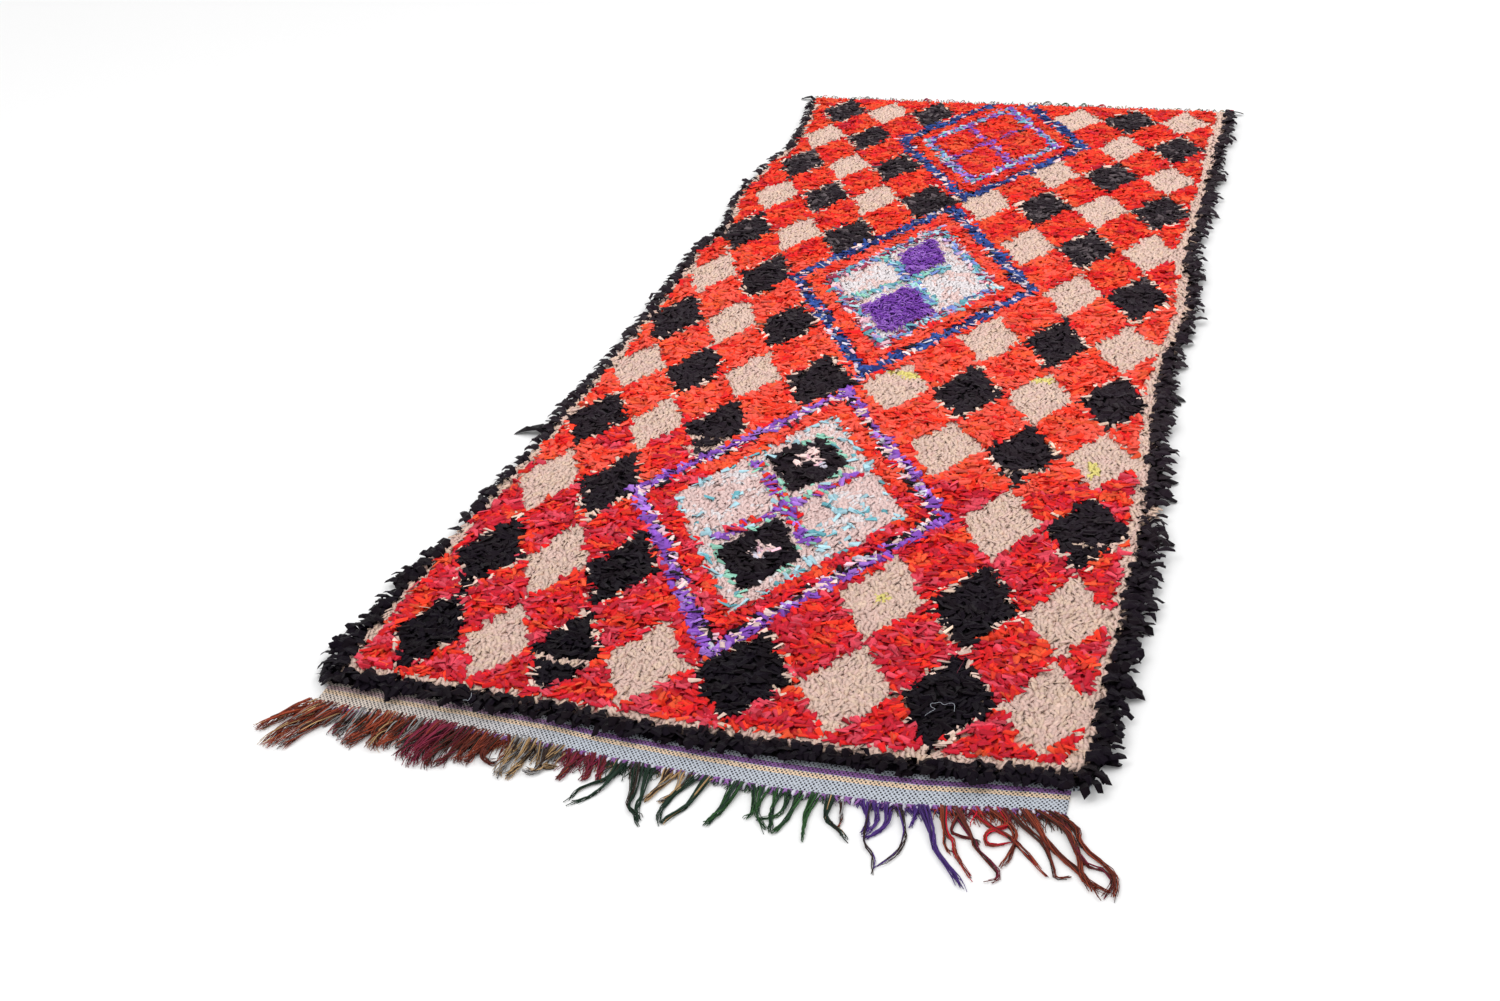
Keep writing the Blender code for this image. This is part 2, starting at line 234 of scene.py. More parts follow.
# The front fringe's locks, in millimetres: dyes, the root's middle and width, number of threads, and the
# places on the route, each by its X and how far ahead of Y -1500 it lies
FRINGE_DYES = {
    "rust": {"rust": 44, "russet": 22, "umber": 18, "straw": 8, "grey": 8},
    "mixed": {"rust": 24, "grey": 28, "magenta": 14, "umber": 34},
    "magenta": {"magenta": 46, "wine": 32, "umber": 14, "rust": 8},
    "wine": {"wine": 40, "russet": 30, "magenta": 12, "umber": 18},
    "straw": {"straw": 40, "umber": 38, "grey": 22}, "green": {"bottle green": 50, "green": 50},
    "bottle": {"bottle green": 78, "umber": 14, "straw": 8}, "plum": {"plum": 100},
    "thin": {"umber": 70, "plum": 30}, "red": {"crimson": 28, "rust": 38, "wine": 20, "umber": 14},
    "brown": {"russet": 54, "rust": 32, "umber": 14},
}
LOCKS = [
    ("rust", -581, 22, 13, -618, 43, -647, 81), ("rust", -561, 24, 13, -595, 59, -617, 118),
    ("rust", -537, 30, 13, -566, 60, -594, 121), ("mixed", -512, 24, 10, -520, 48, -519, 70),
    ("mixed", -489, 26, 11, -494, 55, -496, 87), ("rust", -466, 26, 12, -475, 57, -492, 89),
    ("rust", -444, 30, 14, -454, 50, -450, 93), ("rust", -421, 28, 12, -431, 53, -437, 83),
    ("mixed", -401, 22, 10, -409, 60, -409, 79), ("magenta", -381, 22, 11, -394, 66, -395, 101),
    ("magenta", -363, 22, 12, -376, 71, -375, 114), ("magenta", -347, 20, 10, -368, 57, -362, 101),
    ("wine", -332, 22, 12, -350, 72, -352, 113), ("wine", -316, 20, 11, -328, 74, -338, 106),
    ("brown", -300, 20, 9, -309, 63, -313, 90), ("brown", -284, 20, 9, -292, 66, -300, 91),
    ("brown", -268, 14, 6, -277, 63, -263, 76, -246, 75), ("brown", -252, 14, 7, -240, 48, -243, 78),
    ("straw", -236, 22, 12, -237, 67, -238, 111), ("straw", -216, 20, 11, -218, 75, -224, 108),
    ("straw", -193, 24, 9, -185, 81, -207, 84), ("straw", -172, 20, 8, -182, 67, -158, 64),
    ("magenta", -147, 20, 9, -143, 67, -150, 94), ("magenta", -122, 22, 9, -111, 66, -117, 91),
    ("magenta", -97, 20, 8, -94, 71, -87, 84), ("bottle", -76, 8, 4, -80, 75, -107, 100, -121, 138),
    ("bottle", -66, 12, 4, -78, 92, -91, 118, -119, 143),
    ("bottle", -46, 20, 7, -32, 97, -29, 126, -10, 142, 0, 163),
    ("bottle", -27, 12, 5, -18, 98, -14, 131, 0, 163), ("straw", 10, 26, 8, 1, 76, -12, 113),
    ("straw", 30, 20, 6, 27, 83, 6, 109), ("bottle", 48, 12, 4, 30, 79, 20, 115, 20, 136, 29, 154),
    ("bottle", 64, 12, 6, 58, 77, 51, 108, 33, 137, 30, 153),
    ("green", 108, 20, 8, 102, 101, 95, 123, 86, 142), ("green", 132, 10, 5, 144, 96, 138, 118),
    ("green", 148, 14, 6, 152, 100, 181, 141), ("green", 168, 14, 5, 172, 95, 181, 141),
    ("green", 184, 12, 4, 184, 95, 150, 116), ("green", 201, 14, 6, 195, 105, 181, 141),
    ("green", 222, 14, 7, 220, 99, 230, 144), ("bottle", 244, 12, 6, 248, 89, 269, 109, 289, 132),
    ("mixed", 258, 8, 3, 268, 85, 269, 109), ("plum", 290, 12, 5, 304, 82, 303, 115),
    ("plum", 307, 12, 5, 317, 83, 306, 113), ("plum", 325, 12, 6, 331, 84, 319, 108, 304, 120),
    ("thin", 300, 4, 2, 308, 121, 326, 146, 334, 171, 337, 191),
    ("thin", 341, 8, 3, 354, 80, 362, 110, 354, 147, 330, 177), ("plum", 364, 6, 3, 366, 61, 365, 87),
    ("plum", 372, 16, 8, 392, 81, 408, 122, 441, 164, 461, 195),
    ("red", 400, 10, 6, 410, 77, 426, 98, 438, 127, 470, 173),
    ("wine", 413, 12, 5, 447, 83, 461, 108, 497, 150, 473, 175),
    ("rust", 402, 6, 3, 411, 90, 419, 111, 433, 128), ("magenta", 426, 6, 3, 420, 80, 452, 89, 463, 97),
    ("red", 440, 14, 7, 465, 57, 502, 78, 529, 107, 560, 144),
    ("brown", 462, 14, 6, 498, 57, 507, 84, 503, 116, 497, 138),
    ("red", 476, 12, 6, 492, 51, 468, 71, 474, 95, 510, 80),
    ("brown", 490, 14, 4, 516, 53, 543, 76, 562, 117, 570, 140, 594, 133),
    ("brown", 511, 18, 9, 537, 56, 566, 95, 600, 125, 632, 174),
    ("brown", 530, 16, 8, 571, 48, 593, 92, 607, 133, 648, 154),
    ("brown", 545, 14, 8, 581, 39, 595, 71, 643, 118, 649, 170),
    ("wine", 557, 10, 5, 599, 100, 629, 112, 642, 135, 632, 170),
]

# The flat weave's stripes, from the pile to the outer edge, and how far apart its flecks are
WEAVE_STRIPES = {
    0.0: "weave grey", 0.205: "weave purple", 0.35: "weave lilac", 0.37: "weave peach",
    0.51: "weave grey", 0.94: "weave purple",
}
FLECK_PERIODS = (0.0064, 0.0086)

# The stitches of the heading, in two takes that alternate: dye, thickness, slant and start
STITCHES = (
    [("weave lilac", 0.0028, 0.0, 0.0055)],
    [("weave purple", 0.0022, 0.005, 0.006), ("weave purple", 0.0022, -0.005, 0.0066)],
)

# Threads that lie loose on the pile: dye, height in metres, and route in millimetres
LOOSE_THREADS = [
    ("weave grey", 0.0205, [
        (377, -1339), (374, -1323), (366, -1321), (359, -1326), (353, -1322), (346, -1326),
        (340, -1327), (342, -1335), (349, -1340), (343, -1348), (337, -1357),
    ]),
    ("magenta", 0.0215, [(368, -1209), (365, -1228), (363, -1246)]),
    ("weave grey", 0.0235, [(-344, -1450), (-341, -1460), (-342, -1468), (-350, -1469)]),
]

# Loops of warp along the back edge: x, half width, reach and dye. The other ends' dyes
BACK_LOOPS = [
    (0.09, 0.014, 0.022, "umber"), (0.14, 0.012, 0.014, "green"), (0.19, 0.009, 0.016, "green"),
    (0.24, 0.012, 0.011, "crimson"), (-0.25, 0.008, 0.012, "maroon"), (-0.42, 0.009, 0.01, "grey"),
]
BACK_DYES = {"grey": 30, "straw": 20, "crimson": 12, "green": 14, "rust": 12, "bottle green": 12}

THREAD_RADIUS = 0.001
LOOSE_RADIUS = 0.0003
STITCH_PITCH = 0.0088
FRINGE_DENSITY = 1.7

# The camera, fitted to the photograph's 1500 by 1001 frame
FRAME_WIDTH = 1500
FOCAL_PIXELS = 1822
SENSOR_WIDTH = 36.0
CAMERA_YAW = -18.62
CAMERA_PITCH = -30.22
CAMERA_ROLL = -3.98


def smooth(t):
    t = np.clip(t, 0, 1)
    return t * t * (3 - 2 * t)


def half_widths(along):
    """The pile's left and right half widths at distances up the rug."""
    stops, *edges = WIDTHS.T
    step = np.clip(np.searchsorted(stops, along, side="right") - 1, 0, len(stops) - 2)
    t = smooth((along - stops[step]) / (stops[step + 1] - stops[step]))
    return tuple(edge[step] + t * (edge[step + 1] - edge[step]) for edge in edges)


def between(table, at):
    """The values of a table of stops, on straight lines between them."""
    return np.interp(at, list(table), list(table.values()))


def knotted_width(along):
    """The left and right half widths between the outermost knots."""
    left, right = half_widths(along)
    return left - between(LEFT_INSETS, along), right - between(RIGHT_INSETS, along)


def front_bow(x):
    """How far the front edge lies ahead of its ends."""
    return -BOW * (1 - ((x - BOW_CENTRE) / BOW_HALF_WIDTH) ** 2)


def pile_wave(x):
    return np.interp(x, WAVES[:, 0], WAVES[:, 1])


def heading_y(x):
    """The frame's Y of the weave's outer edge."""
    return front_bow(x) + np.interp(x, WAVES[:, 0], WAVES[:, 2]) - FLAT_DEPTH - HALF_LENGTH


def pile_y(x, along):
    """The frame's Y of a knot."""
    bow = front_bow(x) * np.maximum(0, 1 - along / BOW_FADE)
    return along + bow + pile_wave(x) * np.maximum(0, 1 - along / WAVE_FADE) - HALF_LENGTH


def along_of(x, y):
    """How far up the rug a place lies."""
    far = y + HALF_LENGTH
    bow, wave = front_bow(x), pile_wave(x)
    near = (far - bow - wave) / (1 - bow / BOW_FADE - wave / WAVE_FADE)
    middle = (far - bow) / (1 - bow / BOW_FADE)
    return np.where(near < WAVE_FADE, near, np.where(far < BOW_FADE, middle, far))


def wobble(x, y, size, layer=0.0):
    """Smooth noise from -1 to 1 whose lumps are about size across."""
    return np.array([noise.noise(Vector((a / size, b / size, layer))) for a, b in zip(x, y)])


def linear(dye):
    """A dye as the linear colour that a shader takes."""
    c = np.array(DYES[dye]) / 255
    return np.where(c <= 0.04045, c / 12.92, ((c + 0.055) / 1.055) ** 2.4)


def pick(shares, luck):
    """For each number of luck from 0 to 1, a name from a dict of names and shares."""
    names = np.array(list(shares))
    edges = np.cumsum(list(shares.values())) / sum(shares.values())
    return names[np.minimum(np.searchsorted(edges, luck), len(names) - 1)]


def ranked(values):
    """Each value's rank, from 0 to 1."""
    return np.argsort(np.argsort(values)) / max(1, len(values) - 1)


def dyed(dyes, luck, draw, spread=0.09):
    """Linear colours, each a little lighter or darker than its dye."""
    names = pick(dyes, luck)
    colours = np.zeros((len(names), 3))
    for name in dyes:
        colours[names == name] = linear(name)
    return colours * (1 + spread * draw.standard_normal((len(names), 1))).clip(0.6, 1.5)


def share_out(diamond, x, along):
    """How far out of a diamond's middle places lie: 1 on its edge."""
    return np.abs(x - diamond.x) / diamond.wide + np.abs(along - diamond.along) / diamond.high


class Chart:
    """The pattern, read at places on the pile: what kind of tuft each place shows."""

    def __init__(self, x, along, luck):
        self.luck = luck
        self.kind = np.full(len(x), "red_middle", dtype="U16")
        left, right = half_widths(along)
        self.inward = (x + left, right - x, along)
        self.x = x + 0.005 * wobble(x, along, 0.045) + 0.004 * wobble(x, along, 0.011, 3.0)
        self.along = along + 0.006 * wobble(x, along, 0.045, 7.0) + 0.005 * wobble(x, along, 0.011, 5.0)
        self.patches = ranked(wobble(x, along, 0.017, 14.0) + 0.5 * luck)
        self.bits = wobble(x, along, 0.013, 23.0)
        self.lattice()
        self.medallions()
        self.motifs()
        self.borders()

    def paint(self, where, kinds, patchy=False):
        """Gives places one kind, or several by their shares."""
        if isinstance(kinds, dict):
            kinds = pick(kinds, (self.patches if patchy else self.luck)[where])
        self.kind[where] = kinds

    def columns(self):
        """Where the lattice's columns lie, and the column number with its fraction."""
        alongs = sorted(COLUMNS_AT)
        at = np.array([np.interp(self.along, alongs, [COLUMNS_AT[a][c] for a in alongs]) for c in range(8)])
        number = np.clip((self.x >= at).sum(axis=0) - 1, 0, 6)
        left, right = (np.take_along_axis(at, n[None], axis=0)[0] for n in (number, number + 1))
        return at, number + (self.x - left) / (right - left)

    def row(self):
        """The lattice's row number with its fraction, counted from the back."""
        rows = np.array(ROW_CENTRES)[::-1]
        rows = np.concatenate([[2 * rows[0] - rows[1]], rows, [2 * rows[-1] - rows[-2]]])
        return np.interp(self.along, rows, len(ROW_CENTRES) - np.arange(len(rows)))

    def lattice(self):
        reds = self.along + 0.3 * wobble(self.x, self.along, 0.2, 9.0)
        self.paint(reds < 0.78, "red_front")
        self.paint(reds > 1.75, "red_back")
        (at, column), row = self.columns(), self.row()
        last = len(ROW_CENTRES) - 1
        near_column, near_row = (np.round(places).astype(int) for places in (column, row))
        away = np.abs(column - near_column) + np.abs(row - near_row)
        charted = (near_column >= 0) & (near_column <= 7) & (near_row >= 0) & (near_row <= last)
        middle_x = np.take_along_axis(at, np.clip(near_column, 0, 7)[None], axis=0)[0]
        middle_along = np.array(ROW_CENTRES)[np.clip(near_row, 0, last)]
        for m in MEDALLIONS:
            charted &= share_out(m, middle_x, middle_along) > 1
        dark = (near_column + near_row + (near_row == last)) % 2 == 0
        self.paint(charted & dark & (away > 0.44) & (away < 0.57) & (self.bits > 0.11), "cream bits")
        inside = charted & (away < 0.5)
        self.paint(inside & ~dark, "cream")
        inside &= (away < 0.45) | (self.bits < 0.12)
        self.paint(inside & dark, "black")
        self.paint(inside & dark & (self.along > 1.7), {"black": 45, "charcoal": 55})

    def medallions(self):
        for m in MEDALLIONS:
            r = share_out(m, self.x, self.along)
            for outer, kinds in m.kinds:
                self.paint(r < outer, kinds, patchy="sky" in kinds)
            if m is MEDALLIONS[-1]:
                self.paint((r < 0.88) & (r > 0.74) & (self.along > 0.76), "red_middle")
                right = (r < 0.7) & (self.x > 0.03) & (self.along < 0.74)
                self.paint(right, {"pale": 89, "sky": 11}, patchy=True)

    def motifs(self):
        for d in DIAMONDS:
            self.paint(share_out(d, self.x, self.along) < 1, d.kinds)
        for *places, kinds in STROKES:
            x0, along0, x1, along1, half_width = np.array(places) / 1000
            run = np.array([x1 - x0, along1 - along0])
            t = np.clip(((self.x - x0) * run[0] + (self.along - along0) * run[1]) / (run @ run), 0, 1)
            away = np.hypot(self.x - x0 - t * run[0], self.along - along0 - t * run[1])
            self.paint((away < half_width) & (self.kind != "violet"), kinds)

    def borders(self):
        """The cream line and the black border, on all edges but the back one."""
        x, along, on_left = self.x, self.along, self.x < 0
        ragged = 0.004 * wobble(x, along, 0.018, 11.0)
        broken = np.where(on_left, 0.04, 0.012) * np.minimum(0, wobble(x, along, 0.06, 12.0))
        fingers = np.where(on_left, 0.003, 0.008) * wobble(x * 0.3, along, 0.009, 15.0)
        slim = np.interp(along, (0.6, 1.7), (1.0, 0.74))
        for inward, (_, cream) in zip(self.inward, BORDERS):
            self.paint(inward < cream * np.where(on_left, slim, 1) + ragged + broken, "cream")
        for inward, (black, _) in zip(self.inward, BORDERS):
            self.paint(inward < black * slim + ragged + fingers, "border")
        middle, half = GAP_IN_BORDER
        self.paint((np.abs(along - middle) < half) & (x > 0.55) & (self.luck < 0.5), "cream")


def direction(azimuth, slope):
    level = np.cos(slope)
    return np.stack([np.cos(azimuth) * level, np.sin(azimuth) * level, np.sin(slope)], axis=-1)


def knots(style, draw):
    """The places of a style's knots, in rows across the rug."""
    xs, alongs = [], []
    for n in range(int((PILE_BACK) / style.row)):
        along = (n + 0.5) * style.row + 0.002
        left, right = knotted_width(along)
        x = -left + (np.arange(int((left + right) / style.pitch)) + 0.5 * (n % 2) + 0.25) * style.pitch
        count = len(x)
        xs.append(x + draw.uniform(-0.3, 0.3, count) * style.pitch)
        alongs.append(along + draw.uniform(-0.3, 0.3, count) * style.row)
    x, along = np.concatenate(xs), np.concatenate(alongs)
    return x, np.maximum(along, between(FRONT_STARTS, x))


def headings(style, x, along, draw):
    """Which way tufts lean: to either side and to the front, and outwards near the edges."""
    n = len(x)
    side = np.where(wobble(x, along, 0.05, 13.0) + 0.3 * draw.standard_normal(n) > 0, 1, -1)
    sway = side * math.radians(style.sway)
    azimuth = -math.pi / 2 + sway + math.radians(style.spread) * draw.standard_normal(n)
    left, right = knotted_width(along)
    bordering = style is STYLES["border"]
    reach = 0.06 if bordering else 0.03
    edges = (
        (x + left, math.pi, reach),
        (right - x, 0.0, reach),
        (PILE_BACK - along, math.pi / 2, 0.01),
        (along, -math.pi / 2, 0.05 if bordering else 0.01),
    )
    for inward, outward, reach in edges:
        share = np.clip(1.25 - inward / reach, 0, 1)
        turn = (outward + 0.42 * draw.standard_normal(n) - azimuth + math.pi) % (2 * math.pi) - math.pi
        azimuth = azimuth + turn * share
    return azimuth


def plumpness(along):
    """How tall the pile stands: less towards the back edge."""
    return np.interp(LENGTH - along, (BACK_INSET, 0.08), (0.38, 1.0))


def stand(style, x, along, draw):
    """A style's tufts, but for their colours: their paths and the sizes along them."""
    n, bits = len(x), len(style.shares)
    left, right = knotted_width(along)
    edge = np.minimum.reduce([x + left, right - x, PILE_BACK - along])
    rim = np.clip(1.2 - edge / 0.014, 0, 1)[:, None]
    azimuth = headings(style, x, along, draw)
    turns = azimuth[:, None] + np.cumsum(draw.normal(0, 0.26, (n, bits)), axis=1)
    slopes = np.radians(style.slopes + draw.normal(0, 10 if style.flat else 5, (n, bits)))
    slopes[:, :1] *= 1 - 0.4 * rim
    slopes[:, 1:] -= math.radians(16) * rim
    plump = 1 + 0.14 * wobble(x, along, 0.11) + 0.14 * wobble(x, along, 0.036, 0.5)
    plump *= plumpness(along) * (1 + 0.25 * np.clip(1 - (right - x) / 0.02, 0, 1) * (along < 1.0))
    front = np.clip(1 - along / 0.03, 0, 1)
    plump *= 1 + front * (0.5 * wobble(x, along, 0.04, 19.0) - 0.08)
    lengths = (draw.uniform(*style.length, n) * plump)[:, None] * style.shares
    ragged = np.interp(along, (0.8, 1.2), (0.55, 0.3)) * wobble(x * 0.4, along, 0.022, 17.0)
    ragged = 0.85 + ragged[:, None]
    lengths[:, 1:] *= 1 + (ragged - 1) * rim
    lengths[:, 1:] *= 1 + (front * between(FRONT_CLUMPS, x))[:, None]
    root = np.stack([x, pile_y(x, along), np.full(n, FLAT_WEAVE - 0.001)], axis=1)
    steps = direction(turns, slopes) * lengths[..., None]
    rough = 0.24 if style.flat else 0.08
    uneven = draw.uniform(-1, 1, (3, n, bits + 1)) * (1.0 if style.flat else 0.15)
    return {
        "path": np.concatenate([root[:, None], steps], axis=1).cumsum(axis=1),
        "turns": turns,
        "slopes": slopes,
        "roll": draw.normal(0, 0.34, n) * (1 - 0.6 * rim[:, 0]),
        "half": draw.uniform(*style.width, n)[:, None] / 2 * style.profile * (1 + rough * uneven[0]),
        "fold": 1 + 0.9 * uneven[1],
        "shift": 0.7 * uneven[2],
        "slant": draw.uniform(-1, 1, n) * (0.0042 if style.flat else 0.0),
    }


def at_joints(angles):
    """Angles of a chain's bits, turned into angles at its joints and ends."""
    return np.concatenate([angles[:, :1], (angles[:, 1:] + angles[:, :-1]) / 2, angles[:, -1:]], axis=1)


def ribbons(t, ridge):
    """Closed three-cornered ribbons round the tufts' paths, shaped (tuft, step, corner, xyz)."""
    turn, slope = at_joints(t["turns"]), at_joints(t["slopes"])
    ahead = direction(turn, slope)
    across = np.stack([-np.sin(turn), np.cos(turn), np.zeros_like(turn)], axis=-1)
    up = np.cross(ahead, across)
    roll = t["roll"][:, None, None]
    side = across * np.cos(roll) + up * np.sin(roll)
    top = up * np.cos(roll) - across * np.sin(roll)
    half = t["half"][..., None]
    crest = side * half * t["shift"][..., None] + top * half * 2 * ridge * t["fold"][..., None]
    corners = np.stack([-side * half, side * half, crest], axis=2) + t["path"][:, :, None]
    corners[:, -1, 0] += ahead[:, -1] * t["slant"][:, None]
    corners[:, -1, 1] -= ahead[:, -1] * t["slant"][:, None]
    x, y = corners[..., 0], corners[..., 1]
    over_weave = (y < pile_y(x, 0.0)) & (x > FLAT_LEFT) & (x < FLAT_RIGHT)
    floor = np.where(over_weave, FLAT_WEAVE + 0.0012, 0.0006)
    corners[..., 2] = np.maximum(corners[..., 2], floor)
    return corners


def tube_faces(count, steps, sides):
    """The faces of closed tubes: all their walls, then all their ends."""
    k, c = np.meshgrid(np.arange(steps - 1), np.arange(sides), indexing="ij")
    k, c = k.ravel() * sides, c.ravel()
    d = (c + 1) % sides
    walls = np.stack([k + c, k + d, k + sides + d, k + sides + c], axis=1)
    ends = np.array([np.arange(sides)[::-1], np.arange(sides) + sides * (steps - 1)])
    first = (np.arange(count) * sides * steps)[:, None, None]
    return [(first + faces).reshape(-1, faces.shape[1]) for faces in (walls, ends)]


def put(name, data):
    """A new object in the scene."""
    made = bpy.data.objects.new(name, data)
    bpy.context.scene.collection.objects.link(made)
    return made


def make_mesh(name, points, faces, material, colours=None, flat=False):
    """An object from points and a list of face arrays, each of faces with as many corners."""
    mesh = bpy.data.meshes.new(name)
    points = np.reshape(points, (-1, 3)).astype(np.float32)
    mesh.from_pydata(points.tolist(), [], [face for some in faces for face in some.tolist()], shade_flat=flat)
    if colours is not None:
        # The dye attribute holds the colours as given: for tufts and knots, their dyes with painted light and
        # shade multiplied in
        dye = mesh.attributes.new("dye", "FLOAT_COLOR", "POINT")
        colours = np.hstack([colours.reshape(-1, 3), np.ones((len(points), 1))])
        dye.data.foreach_set("color", colours.astype(np.float32).ravel())
    mesh.materials.append(material)
    return put(name, mesh)


def stray_rags(draw):
    """The rags that reach far out of the border."""
    n = len(STRAYS)
    side = np.array(STRAYS)[:, 0]
    along, reach, width = np.array(STRAYS).T[1:] / 1000
    left, right = half_widths(along)
    tucked = np.where(side < 0, 0.018, 0.012)
    t = stand(STYLES["border"], np.where(side < 0, tucked - left, right - tucked), along, draw)
    t["turns"] = np.where(side < 0, math.pi, 0.0)[:, None] + draw.normal(0, 0.14, (n, 3))
    t["slopes"] = np.radians((34.0, -8.0, -18.0) + draw.normal(0, 5, (n, 3)))
    bits = direction(t["turns"], t["slopes"]) * ((reach + tucked)[:, None] * (0.34, 0.36, 0.36))[..., None]
    t["path"] = np.concatenate([t["path"][:, :1], bits], axis=1).cumsum(axis=1)
    t["half"] = width[:, None] / 2 * (0.7, 1.0, 0.95, 0.6)
    t["dye"] = dyed({"black": 1}, np.zeros(n), draw)
    return t


def on_chart(points):
    """Where on the chart points fall: their x and along."""
    eye = np.array(READ_FROM)
    flat = eye + (points - eye) * (eye[2] / (eye[2] - points[:, 2:]))
    return flat[:, 0], along_of(flat[:, 0], flat[:, 1])


def make_pile():
    """All the knotted tufts, joined to one mesh for each piece."""
    draw = np.random.default_rng(SEED)
    pieces = {}
    for style_name, style in STYLES.items():
        x, along = knots(style, draw)
        luck = draw.random(len(x))
        t = stand(style, x, along, draw)
        kind = Chart(*on_chart((t["path"][:, 1] + t["path"][:, -1]) / 2), luck).kind
        patch = wobble(x, along * 1.6, 0.055, 21.0) + 0.2 * draw.standard_normal(len(x))
        # Painted light and shade up the rug: every tuft darker towards the front edge, the rags a little
        # darker and the yarn lighter towards the back
        painted_shade_along = np.interp(along, (0.1, 1.2, 2.9), (0.86, 1.0, 0.97 if style.flat else 1.1))[:, None]
        # Black and border rags a little lighter and purpler towards the back
        lighter_to_back = np.interp(along, (0.2, 0.9, 2.9), (0.0, 0.012, 0.018))[:, None] * (1.0, 0.65, 0.8)
        spread = 0.16 if style.flat else 0.05
        for kind_name, k in KINDS.items():
            where = (kind == kind_name) & (k.style == style_name)
            if not where.any():
                continue
            part = {name: values[where] for name, values in t.items()}
            part["dye"] = dyed(k.dyes, ranked(patch[where]), draw, spread) * painted_shade_along[where]
            if k.piece in ("border_rags", "black_rags"):
                part["dye"] = part["dye"] + lighter_to_back[where]
            if kind_name == "cream bits":
                part["half"] = part["half"] * 0.72
            pieces.setdefault((k.piece, style_name), []).append(part)
    pieces["border_rags", "border"].append(stray_rags(draw))
    made = []
    for (piece, style_name), parts in pieces.items():
        t = {name: np.concatenate([p[name] for p in parts]) for name in parts[0]}
        made += tuft_pieces(piece, STYLES[style_name], t)
    return made


def tuft_pieces(piece, style, t):
    """The meshes of a piece's tufts: cream ones are halved, for their number."""
    if piece != "cream_yarn":
        return [tuft_piece(piece, style, t)]
    front = t["path"][:, 0, 1] < 0
    halves = (("cream_yarn_front", front), ("cream_yarn_back", ~front))
    return [tuft_piece(name, style, {k: v[where] for k, v in t.items()}) for name, where in halves]


def tuft_piece(name, style, t):
    count, steps = t["path"].shape[:2]
    # Painted light and shade on each tuft: the crest corner is painted lighter, the two side corners darker,
    # and the root step darker where shade falls between the tufts
    painted_corner_light = (0.78, 0.93, 1.18) if style.flat else (0.97, 0.98, 1.03)
    painted_light_and_shade = np.interp(np.arange(steps), (0, 1), (0.9, 1.0))[:, None] * painted_corner_light
    colours = t["dye"][:, None, None, :] * painted_light_and_shade[None, :, :, None]
    material = rag_cloth(name) if style.flat else wool(name)
    points = ribbons(t, style.ridge)
    return make_mesh(name, points, tube_faces(count, steps, 3), material, colours, flat=style.flat)


def add(tree, kind, values=None, output=0, **settings):
    """Adds a node and returns an output. Inputs take plain values or other nodes' outputs."""
    node = tree.nodes.new("ShaderNode" + kind)
    for name, value in settings.items():
        setattr(node, name, value)
    for socket, value in (values or {}).items():
        if isinstance(value, bpy.types.NodeSocket):
            tree.links.new(value, node.inputs[socket])
        else:
            node.inputs[socket].default_value = value
    return node.outputs[output]


def calculate(tree, operation, a, b=0.0, c=0.0):
    return add(tree, "Math", {0: a, 1: b, 2: c}, operation=operation)


def mix(tree, blend, factor, a, b):
    return add(tree, "Mix", {0: factor, 6: a, 7: b}, 2, data_type="RGBA", blend_type=blend)


def fit(tree, value, low, high, to_low=0.0, to_high=1.0):
    """A value's range, moved to another range."""
    ends = {"From Min": low, "From Max": high, "To Min": to_low, "To Max": to_high}
    return add(tree, "MapRange", {"Value": value, **ends})


def surface(name, roughness, sheen, specular=0.3):
    """A new material, with its tree and its shader."""
    made = bpy.data.materials.new(name)
    made.use_nodes = True
    shader = made.node_tree.nodes["Principled BSDF"]
    values = {"Roughness": roughness, "Sheen Weight": sheen, "Sheen Roughness": 0.5}
    for socket, value in {**values, "Specular IOR Level": specular}.items():
        shader.inputs[socket].default_value = value
    return made, made.node_tree, shader


def dyed_cloth(name, crease_size, painted_shade_depth, grain_size, bump, roughness, sheen, specular):
    """Dyed cloth: the dye attribute with painted shade in the creases' folds and painted light on their
    ridges, and creases with a fine grain.
    """
    made, tree, shader = surface(name, roughness, sheen, specular)
    place = add(tree, "TexCoord", output="Object")
    crease_height = add(tree, "TexNoise", {"Vector": place, "Scale": 1 / crease_size, "Detail": 3, "Roughness": 0.6})
    grain = add(tree, "TexNoise", {"Vector": place, "Scale": 1 / grain_size, "Detail": 2, "Roughness": 0.7})
    # Painted light and shade: the cloth lighter where the crease noise is high and darker in its folds, the
    # same noise that the crease bump follows
    painted_light_and_shade = fit(tree, crease_height, 0.3, 0.7, 1 - painted_shade_depth, 1 + painted_shade_depth)
    grey = add(tree, "CombineColor", {"Red": painted_light_and_shade, "Green": painted_light_and_shade, "Blue": painted_light_and_shade})
    colour = mix(tree, "MULTIPLY", 1.0, add(tree, "Attribute", attribute_name="dye"), grey)
    creases = add(tree, "Bump", {"Strength": 0.7, "Distance": bump, "Height": crease_height})
    weave = add(tree, "Bump", {"Strength": 0.5, "Distance": bump * 0.3, "Height": grain, "Normal": creases})
    tree.links.new(colour, shader.inputs["Base Color"])
    tree.links.new(weave, shader.inputs["Normal"])
    return made


def rag_cloth(name):
    """Jersey and satin rags: creased, with a slight shine, purplish on the black ones."""
    dark = name in ("black_rags", "border_rags")
    made = dyed_cloth(name, 0.004, 0.12, 0.0009, 0.0012, 0.5 if dark else 0.65, 0.0, 0.09 if dark else 0.2)
    if dark:
        made.node_tree.nodes["Principled BSDF"].inputs["Specular Tint"].default_value = (1.0, 0.72, 1.0, 1)
    return made


def wool(name):
    """Matt spun yarn."""
    return dyed_cloth(name, 0.003, 0.08, 0.0006, 0.0006, 0.92, 0.05, 0.12)


